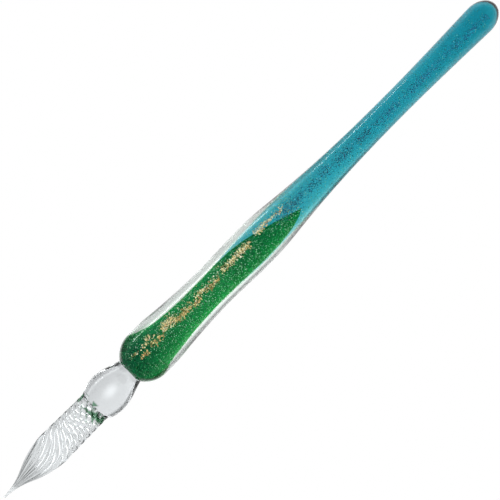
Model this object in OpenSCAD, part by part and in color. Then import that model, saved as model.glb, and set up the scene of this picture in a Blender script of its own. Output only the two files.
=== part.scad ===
// Glass dip pen. A fluted and twisted nib of clear glass is fused to a clear bulb, and the bulb to
// a handle: a clear casing over a green core, whose end is a point inside a turquoise core.
// Strands of coloured glitter are sealed in both cores.
// Millimetres, +Z up. The pen lies along X with its nib towards -X. The origin is under the middle
// of the pen's length, on the surface that the pen lies on.

/* [Nib] */
// From the writing point to where the nib is widest
nib_cone_length = 17.5; // [14:0.1:22]
// From the nib's widest place to the bulb
nib_body_length = 14.3; // [11.5:0.1:17.5]
// Radius of the nib over its ridges at the widest place
nib_radius = 4.55; // [3.7:0.05:5.5]
// Radius of the nib over its ridges where it meets the bulb
nib_foot_radius = 4.35; // [3.6:0.05:5.2]
// Radius of the blunt writing point
point_radius = 0.25; // [0.15:0.05:0.4]
// Length of the slender point before the nib flares out
point_length = 3; // [2:0.1:5]
// Radius at the end of the slender point
point_foot_radius = 0.55; // [0.45:0.05:0.8]
// Widening of the nib for each millimetre of length at the end of the slender point
point_slope = 0.16; // [0.1:0.01:0.25]
// Distance of the flare from the writing point
flare_at = 8; // [6.5:0.1:10]
// Radius of the nib at the flare
flare_radius = 2.2; // [1.8:0.05:2.6]
// Widening of the nib for each millimetre of length at the flare
flare_slope = 0.46; // [0.3:0.01:0.6]
// Number of ink flutes around the nib
flute_count = 12; // [8:1:16]
// Depth of a flute where the nib is widest
flute_depth = 0.65; // [0.4:0.05:0.9]
// Length of nib in which the twisted flutes would make one whole turn
twist_pitch = 24.7; // [18:0.1:40]
// Distance from the writing point at which the flutes start to twist
twist_at = 10; // [6:0.5:14]
// Length over which the twist builds up
twist_run = 18; // [12:0.5:20]

/* [Bulb] */
// From the nib to where the bulb is widest
bulb_front_length = 5.5; // [4.5:0.1:6.6]
// From the bulb's widest place to the handle
bulb_back_length = 7.5; // [6:0.1:9]
// Radius of the bulb
bulb_radius = 5.66; // [4.7:0.01:6.8]
// How far the ridges of the nib stand out over the bulb's front face
bulb_notch = 0.15; // [0.05:0.05:0.3]
// Radius of the neck between the bulb and the handle
neck_radius = 3.7; // [3.1:0.05:4.4]
// Narrowing of the bulb for each millimetre of length at the neck
neck_slope = 0.25; // [0.05:0.01:0.35]

/* [Handle] */
// From the neck to the shoulder, the handle's widest place
shoulder_length = 7.6; // [6.3:0.1:9.2]
// Radius at the shoulder
shoulder_radius = 6.85; // [5.7:0.01:8.2]
// How squarely the handle swells out from the neck to the shoulder
shoulder_fullness = 3; // [2.4:0.1:3.6]
// From the shoulder to the hip, where the handle narrows most
hip_run = 7.6; // [6.3:0.1:9.2]
// Radius at the hip
hip_radius = 6.33; // [5.8:0.01:7.6]
// Narrowing of the handle for each millimetre of length at the hip
hip_slope = 0.095; // [0.06:0.005:0.12]
// From the hip to the finger waist
waist_run = 14.5; // [12:0.1:17.4]
// Radius at the finger waist
waist_radius = 5.63; // [4.7:0.01:6.8]
// From the waist to the swell behind it
swell_run = 15; // [12.5:0.1:18]
// Radius at the swell
swell_radius = 5.95; // [5:0.01:7.2]
// From the swell to the middle of the taper
taper_run = 14.5; // [12:0.1:17.5]
// Radius at the middle of the taper
taper_radius = 4.83; // [4:0.01:5.8]
// Narrowing of the handle for each millimetre of length at the middle of the taper
taper_slope = 0.095; // [0.06:0.005:0.12]
// From the middle of the taper to the slimmest place
slim_run = 35; // [29:0.1:42]
// Radius at the slimmest place
slim_radius = 3.4; // [2.8:0.01:4.1]
// From the slimmest place to where the tail starts to round off
tail_run = 30.6; // [25.5:0.1:36.8]
// Radius of the tail
tail_radius = 4.05; // [3.4:0.01:4.9]
// Widening of the handle for each millimetre of length at the tail
tail_slope = 0.03; // [0:0.01:0.05]
// Length of the rounded end
tail_round = 5.6; // [4.6:0.1:6.8]

/* [Coloured cores] */
// Clear glass between the neck and the front of the green core
front_wall = 0.4; // [0.3:0.05:0.6]
// Casing wall beside the front of the green core
front_side_wall = 0.5; // [0.4:0.05:0.6]
// Thickening of the casing wall for each millimetre of length there
front_side_slope = 0.45; // [0.35:0.05:0.55]
// From the front of the green core to where the casing wall is thickest
core_narrow_run = 11.8; // [9.8:0.1:14.1]
// Thickest casing wall
thick_wall = 3.4; // [2.8:0.05:3.6]
// Casing wall at the finger waist
waist_wall = 3.08; // [2.6:0.01:3.2]
// Casing wall at the swell
swell_wall = 2.95; // [2.5:0.01:3.2]
// Casing wall at the middle of the taper
taper_wall = 1.95; // [1.6:0.05:2.3]
// Thinning of the casing wall for each millimetre of length at the middle of the taper
taper_wall_slope = 0.06; // [0.03:0.01:0.1]
// Casing wall at the slimmest place
slim_wall = 0.3; // [0.25:0.05:1]
// Casing wall at the tail
tail_wall = 0.3; // [0.25:0.05:1]
// Casing wall at the very end
end_wall = 0.3; // [0.25:0.05:0.6]
// From the waist to where the turquoise core starts around the green one
sleeve_at = 4.5; // [2:0.1:10]
// Wall of the turquoise core at its front edge
sleeve_lip = 0.3; // [0.2:0.05:0.5]
// Length of the green core's pointed end
green_point_length = 25; // [20:0.1:30]

/* [Glitter strands] */
// Distance of the gold and copper strands from the core's axis
strand_offset = 1.5; // [1.45:0.05:1.6]
// Largest radius of the gold and copper strands
strand_radius = 0.5; // [0.3:0.05:0.5]
// Place of the gold strand round the axis, in degrees from +Y towards +Z
gold_direction = 60; // [40:1:65]
// Place of the copper strand round the axis, in degrees from +Y towards +Z
copper_direction = 105; // [100:1:130]
// Largest radius of the silver strand, which lies on the axis of the green core
silver_radius = 0.8; // [0.4:0.05:0.8]
// Largest radius of the navy strand, which lies on the axis of the turquoise core
navy_radius = 0.9; // [0.5:0.05:1.1]
// From the front of the green core to the gold strand
gold_at = 8; // [5:0.5:15]
// Length of the gold strand
gold_length = 33; // [20:0.5:34]
// From the front of the green core to the copper strand
copper_at = 3.5; // [3:0.5:10]
// Length of the copper strand
copper_length = 17; // [10:0.5:25]
// From the front of the green core to the silver strand
silver_at = 3; // [2.5:0.5:10]
// Length of the silver strand
silver_length = 39; // [25:0.5:40]
// Turquoise glass between the green core's point and the navy strand
navy_gap = 2.5; // [1:0.5:6]
// Turquoise glass between the navy strand and the core's end
navy_end_gap = 6.5; // [4:0.5:12]

/* [Hidden] */

// Number of steps in each curved stretch, of rings along the nib and of points across one flute
curve_steps = 12;
nib_rings = 42;
flute_points = 4;
// Number of sides in a whole turn of everything that is turned
turned_sides = 96;
// Longest step along the handle and its cores
step_length = 1.5;
// Longest step in front of the shoulder, where they curve most
fine_step = 0.7;

// Distances from the writing point
nib_length = nib_cone_length + nib_body_length;
bulb_at = nib_length + bulb_front_length;
neck_at = bulb_at + bulb_back_length;
shoulder_at = neck_at + shoulder_length;
hip_at = shoulder_at + hip_run;
waist_at = hip_at + waist_run;
swell_at = waist_at + swell_run;
taper_at = swell_at + taper_run;
slim_at = taper_at + slim_run;
tail_at = slim_at + tail_run;
pen_length = tail_at + tail_round;
core_at = neck_at + front_wall;
core_end = pen_length - end_wall;
sleeve_start = waist_at + sleeve_at;
green_end = sleeve_start + green_point_length;

// Radius where the bulb's round front is cut off by the nib
bulb_face_radius = nib_foot_radius - bulb_notch;
// Half-length of the whole ellipse that the bulb's front is part of
bulb_front_reach = bulb_front_length / sqrt(1 - pow(bulb_face_radius / bulb_radius, 2));

// Each station of a curve is its distance from the writing point, its height, and its slope
nib_stations = [
    [0, point_radius, 0],
    [point_length, point_foot_radius, point_slope],
    [flare_at, flare_radius, flare_slope],
    [nib_cone_length, nib_radius, 0],
    [nib_length, nib_foot_radius, 0]
];
bulb_back_stations = [
    [bulb_at, bulb_radius, 0],
    [neck_at, neck_radius, -neck_slope]
];
handle_stations = [
    [shoulder_at, shoulder_radius, 0],
    [hip_at, hip_radius, -hip_slope],
    [waist_at, waist_radius, 0],
    [swell_at, swell_radius, 0],
    [taper_at, taper_radius, -taper_slope],
    [slim_at, slim_radius, 0],
    [tail_at, tail_radius, tail_slope]
];
wall_stations = [
    [core_at, front_side_wall, front_side_slope],
    [core_at + core_narrow_run, thick_wall, 0],
    [waist_at, waist_wall, 0],
    [swell_at, swell_wall, 0],
    [taper_at, taper_wall, -taper_wall_slope],
    [slim_at, slim_wall, 0],
    [tail_at, tail_wall, 0]
];

// Height of the pen's axis over the surface it lies on, which is the pen's largest radius anywhere
axis_height = max(concat([nib_radius, nib_foot_radius, bulb_radius], [for (p = handle_outline()) p[0]]));

// Height at x of the smooth curve between stations a and b
function blend(a, b, x) =
    let (run = b[0] - a[0], t = (x - a[0]) / run)
    (1 + 2 * t) * pow(1 - t, 2) * a[1] + t * pow(1 - t, 2) * run * a[2]
    + t * t * (3 - 2 * t) * b[1] - t * t * (1 - t) * run * b[2];

// Height at x of the smooth curve through all the stations
function height_at(stations, x, i = 0) =
    i >= len(stations) - 2 || x <= stations[i + 1][0]
        ? blend(stations[i], stations[i + 1], x)
        : height_at(stations, x, i + 1);

// Outer radius of the handle behind the neck
function handle_radius(x) =
    x < shoulder_at
        ? neck_radius + (shoulder_radius - neck_radius)
            * (1 - pow((shoulder_at - x) / shoulder_length, shoulder_fullness))
        : height_at(handle_stations, x);

// Outer radius of the coloured cores
function core_radius(x) = handle_radius(x) - height_at(wall_stations, x);

// Radius of the green core's pointed end
function green_point_radius(x) =
    (core_radius(sleeve_start) - sleeve_lip) * cos(90 * (x - sleeve_start) / green_point_length);

// Distances from start to end in equal steps, none longer than longest
function steps(start, end, longest = step_length) =
    let (count = ceil((end - start) / longest))
    [for (i = [0 : count]) start + (end - start) * i / count];

// Quarter of an ellipse that falls from radius high at x to the axis at x + length
function fall(x, length, high) =
    [for (i = [0 : curve_steps]) let (a = 90 * i / curve_steps)
        [i == curve_steps ? 0 : high * cos(a), x + length * sin(a)]];

function handle_outline() = concat(
    [[0, neck_at]],
    [for (x = steps(neck_at, shoulder_at, fine_step)) [handle_radius(x), x]],
    [for (x = steps(shoulder_at, tail_at)) if (x > shoulder_at && x < tail_at) [handle_radius(x), x]],
    fall(tail_at, tail_round, tail_radius)
);

function core_front() = concat(
    [[0, core_at]],
    [for (x = steps(core_at, shoulder_at, fine_step)) [core_radius(x), x]],
    [for (x = steps(shoulder_at, sleeve_start)) if (x > shoulder_at) [core_radius(x), x]]
);

function core_back() = concat(
    [for (x = steps(sleeve_start, tail_at)) if (x < tail_at) [core_radius(x), x]],
    fall(tail_at, core_end - tail_at, core_radius(tail_at))
);

function green_point() =
    [for (x = steps(sleeve_start, green_end)) [x == green_end ? 0 : green_point_radius(x), x]];

// Half of a slender spindle on the axis, pointed at both ends
function spindle(start, length, radius) =
    [for (i = [0 : 2 * curve_steps]) let (t = i / (2 * curve_steps))
        [t == 0 || t == 1 ? 0 : radius * sqrt(sin(180 * t)), start + length * t]];

// Turn of the nib's flutes at x, in degrees: the twist builds up smoothly, and then stays even
function flute_turn(x) =
    let (t = max(0, min(1, (x - twist_at) / twist_run)), past = max(0, x - twist_at - twist_run))
    -360 / twist_pitch * (twist_run * (pow(t, 3) - pow(t, 4) / 2) + past);

// Share of a flute's full depth at point i: none on a ridge, and full on the line between ridges
function flute_cut(i) = pow(abs(cos(180 * i / flute_points)), 3);

function nib_ring(x) =
    let (outer = height_at(nib_stations, x), depth = flute_depth * min(1, outer / nib_radius))
    [for (i = [0 : flute_count * flute_points - 1])
        let (a = flute_turn(x) + 360 * i / (flute_count * flute_points))
        let (r = outer - depth * flute_cut(i))
        [r * cos(a), r * sin(a), x]];

// Lays what is built along +Z from the writing point along X, with its axis at its height
module lie() {
    translate([-pen_length / 2, 0, axis_height])
        rotate([0, 90, 0])
            children();
}

module turned(outline) {
    rotate_extrude($fn = turned_sides)
        polygon(outline);
}

// A strand beside the core's axis, on the side that direction gives in degrees from +Y towards +Z
module side_strand(start, length, direction) {
    rotate([0, 0, direction])
        translate([0, strand_offset, 0])
            turned(spindle(core_at + start, length, strand_radius));
}

module gold_strand() {
    side_strand(gold_at, gold_length, gold_direction);
}

module copper_strand() {
    side_strand(copper_at, copper_length, copper_direction);
}

module silver_strand() {
    turned(spindle(core_at + silver_at, silver_length, silver_radius));
}

module navy_strand() {
    start = green_end + navy_gap;
    turned(spindle(start, core_end - navy_end_gap - start, navy_radius));
}

module nib() {
    count = flute_count * flute_points;
    rings = [for (i = [0 : nib_rings]) nib_ring(nib_length * i / nib_rings)];
    points = concat([for (ring = rings) each ring], [[0, 0, 0], [0, 0, nib_length]]);
    tip = len(points) - 2;
    foot = len(points) - 1;
    last = nib_rings * count;
    sides = [for (k = [0 : nib_rings - 1], i = [0 : count - 1])
        let (j = (i + 1) % count)
        each [[k * count + i, (k + 1) * count + i, k * count + j],
            [k * count + j, (k + 1) * count + i, (k + 1) * count + j]]];
    tip_faces = [for (i = [0 : count - 1]) [tip, i, (i + 1) % count]];
    foot_faces = [for (i = [0 : count - 1]) [foot, last + (i + 1) % count, last + i]];
    color("gainsboro", 0.6)
        lie()
            polyhedron(points = points, faces = concat(sides, tip_faces, foot_faces));
}

module bulb() {
    front = [for (x = steps(nib_length, bulb_at)) if (x < bulb_at)
        [bulb_radius * sqrt(1 - pow((bulb_at - x) / bulb_front_reach, 2)), x]];
    back = [for (x = steps(bulb_at, neck_at)) [height_at(bulb_back_stations, x), x]];
    color("whitesmoke", 0.6)
        lie()
            turned(concat([[0, nib_length]], front, back, [[0, neck_at]]));
}

module handle_casing() {
    color("lightcyan", 0.35)
        lie()
            difference() {
                turned(handle_outline());
                turned(concat(core_front(), core_back()));
            }
}

module green_core() {
    color("seagreen")
        lie()
            difference() {
                turned(concat(core_front(), green_point()));
                gold_strand();
                copper_strand();
                silver_strand();
            }
}

module turquoise_core() {
    backward = green_point();
    socket = [for (i = [len(backward) - 1 : -1 : 0]) backward[i]];
    color("darkcyan")
        lie()
            difference() {
                turned(concat(core_back(), socket));
                navy_strand();
            }
}

module gold_glitter() {
    color("darkkhaki")
        lie()
            gold_strand();
}

module copper_glitter() {
    color("sienna")
        lie()
            copper_strand();
}

module silver_glitter() {
    color("palegreen")
        lie()
            silver_strand();
}

module navy_glitter() {
    color("midnightblue")
        lie()
            navy_strand();
}

nib();
bulb();
handle_casing();
green_core();
turquoise_core();
gold_glitter();
copper_glitter();
silver_glitter();
navy_glitter();
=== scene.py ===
import math

import bpy
import numpy as np
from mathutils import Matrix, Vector


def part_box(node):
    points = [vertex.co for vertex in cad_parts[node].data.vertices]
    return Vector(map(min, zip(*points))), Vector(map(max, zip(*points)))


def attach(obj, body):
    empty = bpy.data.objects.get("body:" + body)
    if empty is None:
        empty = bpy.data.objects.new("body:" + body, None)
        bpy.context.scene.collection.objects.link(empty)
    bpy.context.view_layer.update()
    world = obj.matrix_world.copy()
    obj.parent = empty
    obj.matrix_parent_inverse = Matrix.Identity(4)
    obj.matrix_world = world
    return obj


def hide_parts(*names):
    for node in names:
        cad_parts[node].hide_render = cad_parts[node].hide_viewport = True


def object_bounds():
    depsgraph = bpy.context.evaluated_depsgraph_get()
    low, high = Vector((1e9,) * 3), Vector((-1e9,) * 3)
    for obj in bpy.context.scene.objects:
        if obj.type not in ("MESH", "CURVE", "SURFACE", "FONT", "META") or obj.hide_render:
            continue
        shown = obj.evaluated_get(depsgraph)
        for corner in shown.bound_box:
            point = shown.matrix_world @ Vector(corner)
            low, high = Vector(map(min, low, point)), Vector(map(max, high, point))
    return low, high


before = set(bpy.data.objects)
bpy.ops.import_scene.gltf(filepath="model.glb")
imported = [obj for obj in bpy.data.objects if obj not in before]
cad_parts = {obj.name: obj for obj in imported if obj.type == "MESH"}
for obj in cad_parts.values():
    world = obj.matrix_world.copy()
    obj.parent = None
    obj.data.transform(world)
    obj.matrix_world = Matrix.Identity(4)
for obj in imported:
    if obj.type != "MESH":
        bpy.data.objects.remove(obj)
CAD_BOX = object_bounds()
MM = 0.001

# Where the pieces lie along the pen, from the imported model
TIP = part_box("nib")[0].x
AXIS_Z = (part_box("nib")[0].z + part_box("nib")[1].z) / 2
NIB_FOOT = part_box("nib")[1].x
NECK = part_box("bulb")[1].x
CORE_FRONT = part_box("green_core")[0].x
SLEEVE_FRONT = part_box("turquoise_core")[0].x
GREEN_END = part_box("green_core")[1].x
CORE_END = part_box("turquoise_core")[1].x
PEN_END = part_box("handle_casing")[1].x

# The nib's flutes, as in the CAD model: straight at the point, then twisting more and more over TWIST_RUN
FLUTES = 12
FLUTE_DEPTH = 0.65 * MM
NIB_RADIUS = 4.55 * MM
TWIST_PITCH = 24.7 * MM
TWIST_AT = 10 * MM
TWIST_RUN = 18 * MM
# Power that makes the ridges broader than the grooves, where 1 would be a plain sine
RIDGE_POWER = 0.8
# Length over which the flutes melt into the bulb
MELT_RUN = 1.7 * MM

# How finely the meshes are drawn
POINTS_PER_FLUTE = 16
AROUND = FLUTES * POINTS_PER_FLUTE
ALL_ROUND = np.arange(AROUND) * 2 * math.pi / AROUND
NIB_RINGS = 260
NIB_STEP = 0.1 * MM
BULB_STEP = 0.25 * MM
HANDLE_STEP = 0.6 * MM

# How far the corners of the CAD mesh's facets are smoothed out along its outlines, and how many times finer
# than the finished outline the curve is while that is done
FACET_BLUR = 0.7 * MM
BLUR_FINENESS = 4
# The blur's bell curve is cut off at this many times FACET_BLUR
BLUR_CUT = 3.5
# Mesh points nearer the axis than AXIS_REACH are left out of an outline. So are those whose normal points
# away from the axis by less than FACING_SHARE of its length, which lie on flat ends or on the other skin.
AXIS_REACH = 0.01 * MM
FACING_SHARE = 0.001

# How much fuller than the CAD's the cores are drawn at their two ends, and over what length that fades
TAIL_FILL = 0.2 * MM
TAIL_FILL_AT = 100 * MM
TAIL_FILL_RUN = 15 * MM
FRONT_FILL = 0.4 * MM
FRONT_FILL_RUN = 9 * MM
# Gap that keeps faces of fused glass from lying in exactly the same place
FUSED_GAP = 0.02 * MM

# How far the cores lie to the +Y side of the axis, at distances from the writing point, in millimetres
CORE_WANDER = [
    (45, 0.0), (48, 0.15), (53, -0.1), (58, -0.3), (66, -0.22),
    (74, -0.12), (88, -0.1), (100, 0.1), (116, 0.0),
]
# Sides of the green core's pointed end, towards +Y and -Y, at distances from the writing point, also in
# millimetres
POINT_UPPER = [(79, 2.5), (84, 2.4), (88, 2.0), (92, 1.4), (100, -0.2), (104, -1.1)]
POINT_LOWER = [(79, -2.71), (88, -2.95), (94, -2.9), (97, -2.7), (100, -2.35), (102.5, -1.8), (104, -1.2)]

# Painted reflection of the handle's green core round the nib's foot: where its blots show, how far to
# each side of that they fade out and are still at full strength, and their tint
CORE_REFLECTION_AT = 31.8 * MM
CORE_REFLECTION_REACH = 1.9 * MM
CORE_REFLECTION_FULL = 0.7 * CORE_REFLECTION_REACH
CORE_REFLECTION_TINT = (0.03, 0.11, 0.05)
# The noise values between which a blot of the painted reflection begins
BLOT_EDGE = (0.47, 0.53)

CLEAR_IOR = 1.5
# Depth of the slight waves in clear glass where they are at full strength
WAVE_DEPTH = 0.2 * MM
# Distance from the axis at which a core's colour is wholly that of one side: the painted shade of +Y or the
# painted glow of -Y
SIDE_LIGHT_REACH = 2.5 * MM
# The noise values between which streaks and grains go from dark to bright, and how dark the streaks are
STREAK_EDGE = (0.35, 0.65)
STREAK_DARK = 0.9
GRAIN_EDGE = (0.4, 0.6)

# How far the flakes lie over the cores they were rolled onto, in the clear glass of the casing
FLAKE_LIFT = 0.1 * MM
# How far the pale flakes lie inside the turquoise core
FLAKE_DEPTH = 0.6 * MM
GLITTER_SEED = 7
# Radius of the flakes, before each one's own variation, and how many times longer than wide they are
METAL_RADIUS = 0.14 * MM
METAL_STRETCH = 1.3
SILVER_RADIUS = 0.065 * MM
SILVER_STRETCH = 1.2
NAVY_RADIUS = 0.075 * MM
NAVY_STRETCH = 2.0
# A flake's fewest and most sides, and its radius and half thickness as shares of the radius asked for
FLAKE_SIDES = (5, 6)
FLAKE_SHARES = (0.5, 1.3)
FLAKE_HALF_THICKNESS = 0.12
# How much a flake tips from lying flat, swings from lying along the pen, and varies in its corners' places
FLAKE_TIP = 0.6
FLAKE_SWING = 0.3
CORNER_SHIFT = 0.25
# The flakes of a patch thin out towards its ends and sides
PATCH_BETA = 1.6
PATCH_SPREAD = 0.5
# Lift of single flakes, as shares of the lift that is asked for
PATCH_LIFTS = (0.6, 1.6)
SPREAD_LIFTS = (0.4, 1.6)
# How far out to the side of the cores, as a share of their radius, a patch may reach
PATCH_SIDE = 0.95

# Elongated patches of flakes: (start, end, middle across, half width, how many flakes), in millimetres
GOLD_PATCHES = [
    (47, 57, 1.7, 0.5, 55),
    (53.2, 54.8, 2.3, 0.6, 40),
    (57.8, 62.6, 1.5, 0.95, 230),
    (62, 80, 0.95, 1.1, 150),
    (70, 73.5, 1.2, 0.6, 45),
    (79, 89.5, 1.2, 0.75, 290),
    (91, 95.5, 1.7, 0.7, 90),
    (95, 101, 1.6, 0.4, 70),
]
COPPER_PATCHES = [
    (49.2, 52.2, 0.2, 0.6, 50),
    (53, 58, 0.5, 0.7, 65),
    (61, 67.5, 0.5, 0.8, 140),
    (67.5, 71, 0.2, 0.5, 45),
    (73, 77.5, 0.3, 0.6, 60),
]
NAVY_PATCHES = [
    (97, 108, 0.5, 1.5, 520),
    (108, 113, 0.3, 1.3, 180),
    (113, 117, 0.4, 1.2, 150),
    (117, 125, 0.25, 1.3, 300),
    (125, 131, 0.0, 1.3, 230),
    (131, 141, -0.2, 1.3, 330),
    (141, 156, -0.4, 1.3, 480),
    (156, 163, -0.3, 1.3, 180),
    (162.5, 166, -0.8, 0.9, 80),
    (165.5, 169, -0.7, 1.0, 80),
    (169, 171.5, -0.6, 0.8, 50),
]
# Flakes all round the cores: (start and end in millimetres, how many flakes, lift)
SILVER_SPREADS = [
    (46.5, 104, 6000, FLAKE_LIFT),
    (96, 128, 1500, -FLAKE_DEPTH),
    (128, 171, 1300, -FLAKE_DEPTH),
]

STAGE_HALF = 1.5
# How far the floor and the light table lie under the pen
FLOOR_DROP = 0.05 * MM
TABLE_DROP = 40 * MM
# Brightness of the light table at places across the pen, in millimetres
TABLE_LIGHT = [
    (-300, 0.5), (-250, 0.2), (-100, 0.2), (-60, 0.45), (-33, 0.6), (-29, 0.9), (-24, 1.0),
    (-20, 0.8), (5, 1.0), (34, 1.0), (43, 0.45), (56, 0.12), (250, 0.12), (300, 0.4),
]
# Its shading fades by FADE_SHARE towards the even brightness FADE_LIGHT, between these distances from the
# pen's middle to its slim end
FADE_FROM = 25 * MM
FADE_TO = 60 * MM
FADE_SHARE = 0.8
FADE_LIGHT = 0.95
# Beside the nib and far to its -Y side the table has only this share of its brightness. It comes back
# along the pen between the two DARK_ALONG places from the writing point, and across it between DARK_ACROSS.
DARK_SHARE = 0.2
DARK_ALONG = (30 * MM, 38 * MM)
DARK_ACROSS = (-70 * MM, -42 * MM)
# The brighter spot of the table that shows in the bulb
SPOT_AT = 31 * MM
SPOT_RADIUS = 10 * MM
SPOT_LIGHT = 0.36

# Brightness of the studio at the horizon and overhead. A direction is 1 long, and from this Z of it up the
# studio is as bright as overhead.
HORIZON_LIGHT = 0.4
OVERHEAD_LIGHT = 0.05
OVERHEAD_FROM = 0.4
# It is dimmer towards -X: down to DIM_SHARE at the first X of a direction, and not at all from the second
DIM_SHARE = 0.15
DIM_ALONG = (-1.0, -0.2)
BACKDROP_LIGHT = 0.95

CAMERA_HEIGHT = 0.6
CAMERA_SHIFT = (0.15 * MM, 0.06 * MM)
CAMERA_TURN = math.radians(-45.16)
CAMERA_CLIP = (0.01, 10)
FRAME_WIDTH = 125.9 * MM
# In millimetres, as Blender takes it
SENSOR_WIDTH = 36


# ---------------------------------------------------------------- outlines

def ease(t):
    """From 0 to 1 as t goes from 0 to 1, starting and ending gently."""
    t = min(1, max(0, t))
    return t * t * (3 - 2 * t)


def outline(node, outer=True):
    """The (place along the pen, radius) points of a turned CAD node's outer or inner skin, from its mesh."""
    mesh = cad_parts[node].data
    co = np.empty(len(mesh.vertices) * 3)
    mesh.vertices.foreach_get("co", co)
    normal = np.empty(len(mesh.vertices) * 3)
    mesh.vertices.foreach_get("normal", normal)
    co, normal = co.reshape(-1, 3), normal.reshape(-1, 3)
    out = co[:, 1:] - (0, AXIS_Z)
    radius = np.hypot(out[:, 0], out[:, 1])
    facing = (out * normal[:, 1:]).sum(1) * (1 if outer else -1)
    seen = (facing > FACING_SHARE * radius) & (radius > AXIS_REACH)
    places = np.round(co[seen, 0], 6)
    return np.array([(x, radius[seen][places == x].max()) for x in np.unique(places)])


def with_pole(points, end):
    """The outline closed by a point on the axis at end."""
    return np.vstack([points, (end, 0)])


def extended(curve, count, pole):
    """The curve carried on by count points past both ends: turned about each, or mirrored if it's a pole."""
    before = 2 * curve[0] - curve[count:0:-1]
    after = curve[-2:-count - 2:-1]
    after = after * (1, -1) if pole else 2 * curve[-1] - after
    return np.vstack([before, curve, after])


def refined(points, step):
    """A smooth curve along the outline, with a point about every step and no corners from its facets."""
    pole = points[-1][1] == 0
    run = np.append(0, np.cumsum(np.hypot(*np.diff(points, axis=0).T)))
    places = np.linspace(0, run[-1], BLUR_FINENESS * math.ceil(run[-1] / step) + 1)
    spacing = places[1]
    curve = np.stack([np.interp(places, run, column) for column in points.T], axis=1)
    reach = math.ceil(BLUR_CUT * FACET_BLUR / spacing)
    weights = np.exp(-0.5 * (np.arange(-reach, reach + 1) * spacing / FACET_BLUR) ** 2)
    weights /= weights.sum()

    def blurred(line):
        longer = extended(line, reach, pole)
        return np.stack([np.convolve(column, weights, "valid") for column in longer.T], axis=1)

    # A blurred curve shrinks into its bends. A second blur shrinks it by about as much again, so taking
    # that much off the first one gives the size back.
    once = blurred(curve)
    curve = (2 * once - blurred(once))[::BLUR_FINENESS]
    if pole:
        curve[-1][1] = 0
    return curve


def filled(curve):
    """The cores' outline, fuller at the front and towards the tail, where colour shows right to the edge."""
    for station in curve[:-1]:
        station[1] += TAIL_FILL * ease((station[0] - TIP - TAIL_FILL_AT) / TAIL_FILL_RUN)
        station[1] += FRONT_FILL * ease((CORE_FRONT + FRONT_FILL_RUN - station[0]) / FRONT_FILL_RUN)
    return curve


NIB_OUTLINE = refined(outline("nib"), NIB_STEP)
BULB_OUTLINE = refined(outline("bulb"), BULB_STEP)
CASING_OUTLINE = refined(with_pole(outline("handle_casing"), PEN_END), HANDLE_STEP)
CORE_OUTLINE = filled(refined(with_pole(outline("handle_casing", outer=False), CORE_END), HANDLE_STEP))


def smooth_path(stations, x):
    """Where a smooth curve through the stations, in millimetres from the writing point, is across at x."""
    along = (x - TIP) / MM
    places, heights = np.array(stations, float).T
    k = min(len(places) - 2, max(0, int(np.searchsorted(places, along)) - 1))
    t = ease((along - places[k]) / (places[k + 1] - places[k]))
    return MM * (heights[k] + (heights[k + 1] - heights[k]) * t)


def straight_path(stations, x):
    """The same for straight lines from station to station."""
    return MM * float(np.interp((x - TIP) / MM, *np.array(stations, float).T))


def core_centre(x):
    return smooth_path(CORE_WANDER, x)


def core_radius(x):
    return float(np.interp(x, *CORE_OUTLINE.T))


# ---------------------------------------------------------------- meshes

def ring(x, radii, turns, middle=0):
    """Points round the pen at x, about middle along Y. A turn of 0 points down, and a quarter turn to +Y."""
    return np.stack([
        np.full(len(turns), x),
        middle + radii * np.sin(turns),
        AXIS_Z - radii * np.cos(turns),
    ], axis=1)


def turned(curve, gap=0.0, centre=lambda x: 0):
    """Rings round the pen through the curve's points off the axis. Centre gives their middle along Y."""
    return [ring(x, r + gap, ALL_ROUND, centre(x)) for x, r in curve if r > 0]


def point_rings(gap):
    """Rings of the green core's pointed end, which leans towards -Y."""
    rings = []
    for x in np.arange(SLEEVE_FRONT, GREEN_END, HANDLE_STEP):
        upper, lower = straight_path(POINT_UPPER, x), straight_path(POINT_LOWER, x)
        rings.append(ring(x, (upper - lower) / 2 + gap, ALL_ROUND, (upper + lower) / 2))
    return rings


def point_end(gap):
    return (GREEN_END + gap, straight_path(POINT_UPPER, GREEN_END), AXIS_Z)


def skin(rings, start, end, inward=False):
    """(points, faces, kinds) of a closed skin over the rings, capped to a point at the start and at the end.

    The kind of a face is "side", "start" or "end".
    """
    count = len(rings[0])
    points = [p for r in rings for p in r]
    first, last = len(points), len(points) + 1
    points += [start, end]
    faces, kinds = [], []
    for k in range(len(rings) - 1):
        for i in range(count):
            j = (i + 1) % count
            faces.append((k * count + i, k * count + j, (k + 1) * count + j, (k + 1) * count + i))
            kinds.append("side")
    base = (len(rings) - 1) * count
    for i in range(count):
        j = (i + 1) % count
        faces.append((first, j, i))
        faces.append((last, base + i, base + j))
        kinds += ["start", "end"]
    if inward:
        faces = [f[::-1] for f in faces]
    return points, faces, kinds


def fused_slots(kinds, fused):
    """Material slots for the faces: 1 for the kinds that are fused to another piece, and 0 for others."""
    return [int(kind in fused) for kind in kinds]


def make_object(name, points, faces, materials, slots=None, smooth_shaded=True):
    mesh = bpy.data.meshes.new(name)
    mesh.from_pydata([tuple(p) for p in points], [], faces)
    for m in materials:
        mesh.materials.append(m)
    if slots is not None:
        mesh.polygons.foreach_set("material_index", slots)
    mesh.polygons.foreach_set("use_smooth", [smooth_shaded] * len(faces))
    mesh.update()
    obj = bpy.data.objects.new(name, mesh)
    bpy.context.scene.collection.objects.link(obj)
    return obj


def place(obj, node):
    """Rides the piece on the pen's one body, in the place of a CAD node."""
    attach(obj, "root")
    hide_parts(node)


# ---------------------------------------------------------------- shader nodes

def feed(tree, socket, value):
    """Links the value to the socket if it's a node's output, and otherwise sets it. Colours are RGB."""
    if isinstance(value, bpy.types.NodeSocket):
        tree.links.new(value, socket)
    elif socket.type == "RGBA":
        socket.default_value = (*value, 1)
    else:
        socket.default_value = value


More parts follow.
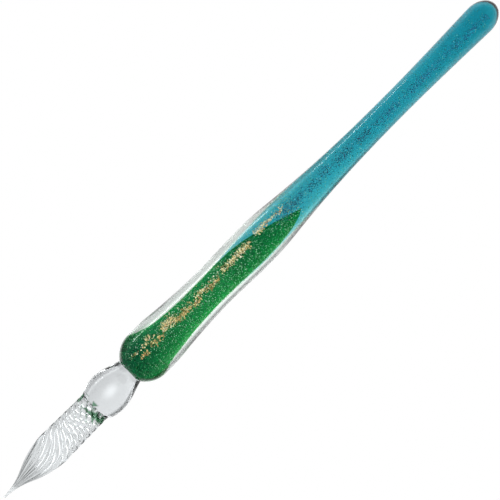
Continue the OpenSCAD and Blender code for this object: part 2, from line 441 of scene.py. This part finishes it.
def add(tree, kind, inputs=None, **settings):
    """A new node with the settings, and with the inputs fed by their names or numbers."""
    node = tree.nodes.new(kind)
    for key, value in settings.items():
        setattr(node, key, value)
    for key, value in (inputs or {}).items():
        feed(tree, node.inputs[key], value)
    return node


def new_material(name):
    mat = bpy.data.materials.new(name)
    mat.use_nodes = True
    mat.node_tree.nodes.clear()
    return mat, mat.node_tree


def grey(level):
    return (level, level, level)


def coordinates(tree, kind="Object"):
    """Outputs for the coordinates of the point being shaded: all three in one, and then X, Y and Z."""
    point = add(tree, "ShaderNodeTexCoord").outputs[kind]
    return point, *add(tree, "ShaderNodeSeparateXYZ", {"Vector": point}).outputs


def calculated(tree, operation, *values):
    node = add(tree, "ShaderNodeMath", operation=operation)
    for socket, value in zip(node.inputs, values):
        feed(tree, socket, value)
    return node.outputs[0]


def graded(tree, value, start, end, low=0.0, high=1.0, interpolation_type="LINEAR"):
    """A number that goes from low to high as the value goes from start to end."""
    inputs = {"Value": value, "From Min": start, "From Max": end, "To Min": low, "To Max": high}
    return add(tree, "ShaderNodeMapRange", inputs, interpolation_type=interpolation_type).outputs["Result"]


def mixed(tree, factor, first, second, blend_type="MIX"):
    """The mix of two colours, which can be outputs."""
    mix = add(tree, "ShaderNodeMix", {"Factor": factor}, data_type="RGBA", blend_type=blend_type)
    for socket, value in zip([i for i in mix.inputs if i.type == "RGBA"], (first, second)):
        feed(tree, socket, value)
    return next(o for o in mix.outputs if o.type == "RGBA")


def ramp(tree, value, stops):
    """The colour at the value on a ramp through the stops, each (place from 0 to 1, colour)."""
    node = add(tree, "ShaderNodeValToRGB", {"Fac": value})
    elements = node.color_ramp.elements
    for k in (0, -1):
        elements[k].position = stops[k][0]
        elements[k].color = (*stops[k][1], 1)
    for at, colour in stops[1:-1]:
        elements.new(at).color = (*colour, 1)
    return node.outputs["Color"]


def streaks(tree, along, across, detail=2.0):
    """Noise drawn out along the pen, as melted glass is. Its scales are per metre."""
    point = add(tree, "ShaderNodeTexCoord").outputs["Object"]
    stretched = add(tree, "ShaderNodeMapping", {"Vector": point, "Scale": (along, across, across)})
    inputs = {"Vector": stretched.outputs["Vector"], "Scale": 1.0, "Detail": detail}
    return add(tree, "ShaderNodeTexNoise", inputs).outputs["Fac"]


# ---------------------------------------------------------------- materials

def painted_core_reflection(tree, tint):
    """The tint, with blots of painted reflection of the handle's green in the glass round the nib's foot."""
    _, along, _, _ = coordinates(tree)
    # Painted reflection of the green core, in blots that fade out away from the nib's foot
    away = calculated(tree, "ABSOLUTE", calculated(tree, "SUBTRACT", along, TIP + CORE_REFLECTION_AT))
    near = graded(tree, away, CORE_REFLECTION_REACH, CORE_REFLECTION_FULL, interpolation_type="SMOOTHSTEP")
    patches = streaks(tree, along=300, across=360, detail=0.5)
    blots = graded(tree, patches, *BLOT_EDGE, interpolation_type="SMOOTHSTEP")
    return mixed(tree, calculated(tree, "MULTIPLY", near, blots), tint, CORE_REFLECTION_TINT)


def clear_glass(name, tint, waviness, painted_reflection=False):
    """Polished glass, with the slight waves that drawing it out leaves."""
    mat, tree = new_material(name)
    waves = add(tree, "ShaderNodeBump", {
        "Height": streaks(tree, along=120, across=320, detail=1.0),
        "Strength": waviness,
        "Distance": WAVE_DEPTH,
    })
    glass = add(tree, "ShaderNodeBsdfPrincipled", {
        # Where asked for, the base colour carries the painted reflection of the green core round the nib's
        # foot
        "Base Color": painted_core_reflection(tree, tint) if painted_reflection else tint,
        "Roughness": 0.0,
        "IOR": CLEAR_IOR,
        "Transmission Weight": 1.0,
        "Normal": waves.outputs["Normal"],
    })
    add(tree, "ShaderNodeOutputMaterial", {"Surface": glass.outputs[0]})
    return mat


def fused_face(name):
    """The face where two pieces of glass are melted together: it can't be seen."""
    mat, tree = new_material(name)
    see_through = add(tree, "ShaderNodeBsdfTransparent")
    add(tree, "ShaderNodeOutputMaterial", {"Surface": see_through.outputs[0]})
    return mat


def coloured_glass(name, tint, density, upper, lower, mottled):
    """Glass inside glass of the same kind: it doesn't bend light, and only takes colour out of it.

    The tint and the density, per metre, colour its depth. Its surface is streaked and grained, as dark as
    mottled between its grains, and runs from upper on its +Y side to lower on its -Y side: painted shade on
    the +Y side and a painted glow, as of light focused through the rod, on the -Y side.
    """
    mat, tree = new_material(name)
    _, _, across, _ = coordinates(tree)
    # Painted light across the core: shade on its +Y side, and a brighter glow on its -Y side where light
    # focused through the rod would fall
    sides = mixed(tree, graded(tree, across, -SIDE_LIGHT_REACH, SIDE_LIGHT_REACH), lower, upper)
    drawn = streaks(tree, along=150, across=1400)
    drawn = ramp(tree, drawn, [(STREAK_EDGE[0], grey(STREAK_DARK)), (STREAK_EDGE[1], grey(1))])
    grains = streaks(tree, along=2200, across=2600)
    grains = ramp(tree, grains, [(GRAIN_EDGE[0], grey(mottled)), (GRAIN_EDGE[1], grey(1))])
    streaked = mixed(tree, 1.0, sides, drawn, "MULTIPLY")
    glass = add(tree, "ShaderNodeBsdfPrincipled", {
        "Base Color": mixed(tree, 1.0, streaked, grains, "MULTIPLY"),
        "Roughness": 0.0,
        "IOR": 1.0,
        "Transmission Weight": 1.0,
    })
    depth = add(tree, "ShaderNodeVolumeAbsorption", {"Color": tint, "Density": density})
    add(tree, "ShaderNodeOutputMaterial", {"Surface": glass.outputs[0], "Volume": depth.outputs[0]})
    return mat


def flake_material(name, colours, metallic, roughness):
    """Metal flakes, each one of a range of colours."""
    mat, tree = new_material(name)
    which = add(tree, "ShaderNodeNewGeometry").outputs["Random Per Island"]
    stops = [(i / (len(colours) - 1), colour) for i, colour in enumerate(colours)]
    metal = add(tree, "ShaderNodeBsdfPrincipled", {
        "Base Color": ramp(tree, which, stops),
        "Metallic": metallic,
        "Roughness": roughness,
    })
    add(tree, "ShaderNodeOutputMaterial", {"Surface": metal.outputs[0]})
    return mat


# The nib and the bulb carry a painted reflection of the handle's green core round the nib's foot
NIB_GLASS = clear_glass("nib_glass", tint=(0.7, 0.725, 0.735), waviness=0.1, painted_reflection=True)
BULB_GLASS = clear_glass("bulb_glass", tint=(0.69, 0.715, 0.73), waviness=0.01, painted_reflection=True)
CASING_GLASS = clear_glass("casing_glass", tint=(0.89, 0.95, 0.92), waviness=0.03)
FUSED = fused_face("fused_face")
# Painted light: the green's -Y side is painted brighter and its +Y side darker, as light focused through the
# rod would show them
GREEN_GLASS = coloured_glass(
    "green_glass", tint=(0.5, 0.5, 0.667), density=320,
    upper=(0.03, 0.56, 0.15), lower=(0.035, 0.68, 0.13), mottled=0.6)
TURQUOISE_GLASS = coloured_glass(
    "turquoise_glass", tint=(0.01, 0.73, 0.8), density=600,
    upper=(0.97, 0.98, 1.0), lower=(0.97, 1.0, 0.98), mottled=0.95)
GOLD = flake_material(
    "gold_flakes", [(0.1, 0.06, 0.01), (0.8, 0.5, 0.2), (1, 0.85, 0.45), (1, 0.98, 0.85)],
    metallic=0.15, roughness=0.4)
COPPER = flake_material(
    "copper_flakes", [(0.12, 0.05, 0.01), (0.6, 0.33, 0.1), (0.95, 0.75, 0.35)],
    metallic=0.15, roughness=0.4)
SILVER = flake_material(
    "silver_flakes", [(0.1, 0.4, 0.15), (0.4, 0.75, 0.4), (0.85, 1.0, 0.85)],
    metallic=0.1, roughness=0.4)
NAVY = flake_material(
    "navy_flakes", [(0.0, 0.01, 0.06), (0.0, 0.06, 0.15), (0.02, 0.22, 0.33)],
    metallic=0.1, roughness=0.5)


# ---------------------------------------------------------------- nib and bulb

def flute_turn(x):
    """How far the flutes have turned at x, in radians: the sum of a pitch that sets in as ease does."""
    along = x - TIP
    t = min(1, max(0, (along - TWIST_AT) / TWIST_RUN))
    past = max(0, along - TWIST_AT - TWIST_RUN)
    return -2 * math.pi / TWIST_PITCH * (TWIST_RUN * (t**3 - t**4 / 2) + past)


def fluted(outer, x):
    """Radii and turns of the fluted section at x: rounded ridges with a narrow groove between them."""
    depth = FLUTE_DEPTH * min(1, outer / NIB_RADIUS)
    ridges = np.abs(np.sin(ALL_ROUND * FLUTES / 2)) ** RIDGE_POWER
    return outer - depth * (1 - ridges), ALL_ROUND + flute_turn(x)


def build_nib():
    rings = []
    for x in np.linspace(TIP, NIB_FOOT, NIB_RINGS + 1):
        rings.append(ring(x, *fluted(np.interp(x, *NIB_OUTLINE.T), x)))
    points, faces, kinds = skin(rings, (TIP, 0, AXIS_Z), (NIB_FOOT, 0, AXIS_Z))
    nib = make_object("nib", points, faces, [NIB_GLASS, FUSED], fused_slots(kinds, ["end"]))
    place(nib, "nib")


def build_bulb():
    """The bulb, which starts with the flutes of the nib's foot."""
    foot, turns = fluted(NIB_OUTLINE[-1][1], NIB_FOOT)
    rings = []
    for x, outer in BULB_OUTLINE:
        melted = ease((x - NIB_FOOT) / MELT_RUN)
        rings.append(ring(x, foot * (1 - melted) + outer * melted, turns))
    points, faces, kinds = skin(rings, (NIB_FOOT, 0, AXIS_Z), (NECK, 0, AXIS_Z))
    bulb = make_object("bulb", points, faces, [BULB_GLASS, FUSED], fused_slots(kinds, ["start", "end"]))
    place(bulb, "bulb")


# ---------------------------------------------------------------- handle

def build_casing():
    """The clear casing. The wall of its hollow is fused to the cores all over."""
    points, faces, kinds = skin(turned(CASING_OUTLINE), (NECK, 0, AXIS_Z), (PEN_END, 0, AXIS_Z))
    slots = fused_slots(kinds, ["start"])
    front, back = (CORE_FRONT - FUSED_GAP, 0, AXIS_Z), (CORE_END + FUSED_GAP, 0, AXIS_Z)
    hollow = turned(CORE_OUTLINE, FUSED_GAP, core_centre)
    hollow_points, hollow_faces, hollow_kinds = skin(hollow, front, back, inward=True)
    offset = len(points)
    points += hollow_points
    faces += [tuple(i + offset for i in f) for f in hollow_faces]
    slots += fused_slots(hollow_kinds, ["side", "start", "end"])
    casing = make_object("handle_casing", points, faces, [CASING_GLASS, FUSED], slots)
    place(casing, "handle_casing")


def build_green_core():
    front = turned(CORE_OUTLINE[CORE_OUTLINE[:, 0] < SLEEVE_FRONT], -FUSED_GAP, core_centre)
    points, faces, _ = skin(front + point_rings(-FUSED_GAP), (CORE_FRONT, 0, AXIS_Z), point_end(0))
    place(make_object("green_core", points, faces, [GREEN_GLASS]), "green_core")


def build_turquoise_core():
    """The turquoise core, whose skin runs out of the green point's socket and then back to the tail."""
    socket = point_rings(FUSED_GAP)[::-1]
    outer = turned(CORE_OUTLINE[CORE_OUTLINE[:, 0] >= SLEEVE_FRONT], 0.0, core_centre)
    points, faces, _ = skin(socket + outer, point_end(FUSED_GAP), (CORE_END, 0, AXIS_Z))
    core = make_object("turquoise_core", points, faces, [TURQUOISE_GLASS])
    place(core, "turquoise_core")


# ---------------------------------------------------------------- glitter

def flakes(spots, radius, stretch, rng):
    """Points and faces of thin plates at the spots, each (point, way out), drawn out by stretch."""
    points, faces = [], []
    for spot, out in spots:
        sides = rng.integers(FLAKE_SIDES[0], FLAKE_SIDES[1] + 1)
        reach = radius * rng.uniform(*FLAKE_SHARES)
        half_thickness = radius * FLAKE_HALF_THICKNESS
        normal = out + rng.normal(0, FLAKE_TIP, 3)
        normal /= np.linalg.norm(normal)
        across = np.cross(normal, (1, rng.normal(0, FLAKE_SWING), 0))
        across /= np.linalg.norm(across)
        along = np.cross(normal, across)
        base = len(points)
        corners = np.arange(sides) + rng.uniform(-CORNER_SHIFT, CORNER_SHIFT, sides)
        turns = corners * 2 * math.pi / sides
        for side in (-1, 1):
            for turn in turns:
                rim = across * math.cos(turn) + along * math.sin(turn) * stretch
                points.append(spot + reach * rim + side * half_thickness * normal)
        faces.append(tuple(base + i for i in range(sides))[::-1])
        faces.append(tuple(base + sides + i for i in range(sides)))
        for i in range(sides):
            j = (i + 1) % sides
            faces.append((base + i, base + j, base + sides + j, base + sides + i))
    return points, faces


def over_core(x, y, height):
    """The spot on the cores' upper side at y across the pen, height over them, and the way out there."""
    radius = core_radius(x) + height
    y = max(-PATCH_SIDE * radius, min(PATCH_SIDE * radius, y - core_centre(x)))
    z = math.sqrt(radius**2 - y**2)
    out = np.array([0, y, z]) / radius
    return np.array([x, y + core_centre(x), AXIS_Z + z]), out


def trail(patches, rng):
    """Spots in elongated patches, which are in millimetres."""
    spots = []
    for start, end, middle, half, count in patches:
        for _ in range(count):
            along = TIP + MM * (start + (end - start) * rng.beta(PATCH_BETA, PATCH_BETA))
            across = MM * (middle + half * rng.normal(0, PATCH_SPREAD))
            spots.append(over_core(along, across, FLAKE_LIFT * rng.uniform(*PATCH_LIFTS)))
    return spots


def all_round(start, end, count, lift, rng):
    """Spots all round the cores from start to end, in millimetres, lifted over their surface."""
    spots = []
    for _ in range(count):
        x = TIP + MM * rng.uniform(start, end)
        turn = rng.uniform(0, 2 * math.pi)
        radius = core_radius(x) + lift * rng.uniform(*SPREAD_LIFTS)
        out = np.array([0, math.sin(turn), -math.cos(turn)])
        spots.append((np.array([x, core_centre(x), AXIS_Z]) + out * radius, out))
    return spots


def add_glitter(node, material, spots, radius, stretch, rng):
    points, faces = flakes(spots, radius, stretch, rng)
    place(make_object(node, points, faces, [material], smooth_shaded=False), node)


def build_glitter():
    rng = np.random.default_rng(GLITTER_SEED)
    gold = trail(GOLD_PATCHES, rng)
    add_glitter("gold_glitter", GOLD, gold, METAL_RADIUS, METAL_STRETCH, rng)
    copper = trail(COPPER_PATCHES, rng)
    add_glitter("copper_glitter", COPPER, copper, METAL_RADIUS, METAL_STRETCH, rng)
    silver = [spot for spread in SILVER_SPREADS for spot in all_round(*spread, rng)]
    add_glitter("silver_glitter", SILVER, silver, SILVER_RADIUS, SILVER_STRETCH, rng)
    navy = trail(NAVY_PATCHES, rng)
    add_glitter("navy_glitter", NAVY, navy, NAVY_RADIUS, NAVY_STRETCH, rng)


# ---------------------------------------------------------------- stage

def plane(name, z, material):
    half = STAGE_HALF
    corners = [(-half, -half, z), (half, -half, z), (half, half, z), (-half, half, z)]
    board = make_object(name, corners, [(0, 1, 2, 3)], [material], smooth_shaded=False)
    return board


def build_floor():
    """A plain white floor. The glass is lit from under it, so only the camera sees the floor itself."""
    mat, tree = new_material("white_floor")
    glow = add(tree, "ShaderNodeEmission", {"Color": grey(1), "Strength": 1.0})
    add(tree, "ShaderNodeOutputMaterial", {"Surface": glow.outputs[0]})
    floor = plane("floor", CAD_BOX[0][2] - FLOOR_DROP, mat)
    floor.visible_glossy = False
    floor.visible_transmission = False
    floor.visible_diffuse = False
    floor.visible_shadow = False


def build_light_table():
    """The graded light that reaches the glass from below. The camera doesn't see the table itself."""
    mat, tree = new_material("light_table")
    level = CAD_BOX[0][2] - TABLE_DROP
    point, along, across, _ = coordinates(tree)

    # Graded across the pen, and more evenly so under its slim end
    first, last = TABLE_LIGHT[0][0], TABLE_LIGHT[-1][0]
    stops = [((at - first) / (last - first), grey(light)) for at, light in TABLE_LIGHT]
    shading = ramp(tree, graded(tree, across, first * MM, last * MM), stops)
    evenness = graded(tree, along, FADE_FROM, FADE_TO, high=FADE_SHARE)
    colour = mixed(tree, evenness, shading, grey(FADE_LIGHT))

    # Darker beside the nib, and brighter in the spot that shows in the bulb
    past_nib = graded(tree, along, TIP + DARK_ALONG[0], TIP + DARK_ALONG[1], low=DARK_SHARE)
    close = graded(tree, across, *DARK_ACROSS, low=DARK_SHARE)
    ends = {0: point, 1: (TIP + SPOT_AT, 0, level)}
    away = add(tree, "ShaderNodeVectorMath", ends, operation="DISTANCE").outputs["Value"]
    spot = graded(tree, away, 0, SPOT_RADIUS, 1 + SPOT_LIGHT, 1, interpolation_type="SMOOTHSTEP")
    strength = calculated(tree, "MULTIPLY", calculated(tree, "MAXIMUM", past_nib, close), spot)

    glow = add(tree, "ShaderNodeEmission", {"Color": colour, "Strength": strength})
    add(tree, "ShaderNodeOutputMaterial", {"Surface": glow.outputs[0]})
    plane("light_table", level, mat).visible_camera = False


def build_world():
    """A studio that is pale at the horizon and dark overhead, with an even pale backdrop for the camera."""
    world = bpy.data.worlds.new("studio")
    world.use_nodes = True
    tree = world.node_tree
    tree.nodes.clear()
    _, along, _, up = coordinates(tree, "Generated")
    room = add(tree, "ShaderNodeBackground", {
        "Color": ramp(tree, up, [(0, grey(HORIZON_LIGHT)), (OVERHEAD_FROM, grey(OVERHEAD_LIGHT))]),
        "Strength": graded(tree, along, *DIM_ALONG, low=DIM_SHARE),
    })
    backdrop = add(tree, "ShaderNodeBackground", {"Color": grey(BACKDROP_LIGHT)})
    seen = add(tree, "ShaderNodeLightPath").outputs["Is Camera Ray"]
    mix = add(tree, "ShaderNodeMixShader", {"Fac": seen, 1: room.outputs[0], 2: backdrop.outputs[0]})
    add(tree, "ShaderNodeOutputWorld", {"Surface": mix.outputs[0]})
    bpy.context.scene.world = world


def softbox(name, stand, target, size, watts, mirrored=True):
    """A rectangular lamp. One that isn't mirrored lights the flakes, but shows no highlight on the glass."""
    data = bpy.data.lights.new(name, "AREA")
    data.shape = "RECTANGLE"
    data.size, data.size_y = size
    data.energy = watts
    lamp = bpy.data.objects.new(name, data)
    bpy.context.scene.collection.objects.link(lamp)
    lamp.location = stand
    lamp.rotation_euler = (Vector(target) - Vector(stand)).to_track_quat("-Z", "Y").to_euler()
    lamp.visible_camera = False
    lamp.visible_glossy = mirrored


def build_camera():
    data = bpy.data.cameras.new("camera")
    data.sensor_width = SENSOR_WIDTH
    data.lens = SENSOR_WIDTH * CAMERA_HEIGHT / FRAME_WIDTH
    data.clip_start, data.clip_end = CAMERA_CLIP
    camera = bpy.data.objects.new("camera", data)
    bpy.context.scene.collection.objects.link(camera)
    camera.location = (*CAMERA_SHIFT, AXIS_Z + CAMERA_HEIGHT)
    camera.rotation_euler = (0, 0, CAMERA_TURN)
    bpy.context.scene.camera = camera


def set_look():
    """Plain colours, and enough bounces for light to come back out of glass within glass."""
    scene = bpy.context.scene
    scene.view_settings.view_transform = "Standard"
    scene.cycles.max_bounces = 24
    scene.cycles.transmission_bounces = 16
    scene.cycles.transparent_max_bounces = 24
    scene.cycles.diffuse_bounces = 3
    scene.cycles.glossy_bounces = 4


build_nib()
build_bulb()
build_casing()
build_green_core()
build_turquoise_core()
build_glitter()
build_floor()
build_light_table()
build_world()
softbox("window", stand=(-0.02, 0.6, 0.03), target=(-0.02, 0, AXIS_Z), size=(0.25, 0.05), watts=0.25)
softbox("overhead", stand=(0, 0, 0.5), target=(0, 0, 0), size=(1.6, 1.6), watts=22, mirrored=False)
build_camera()
set_look()
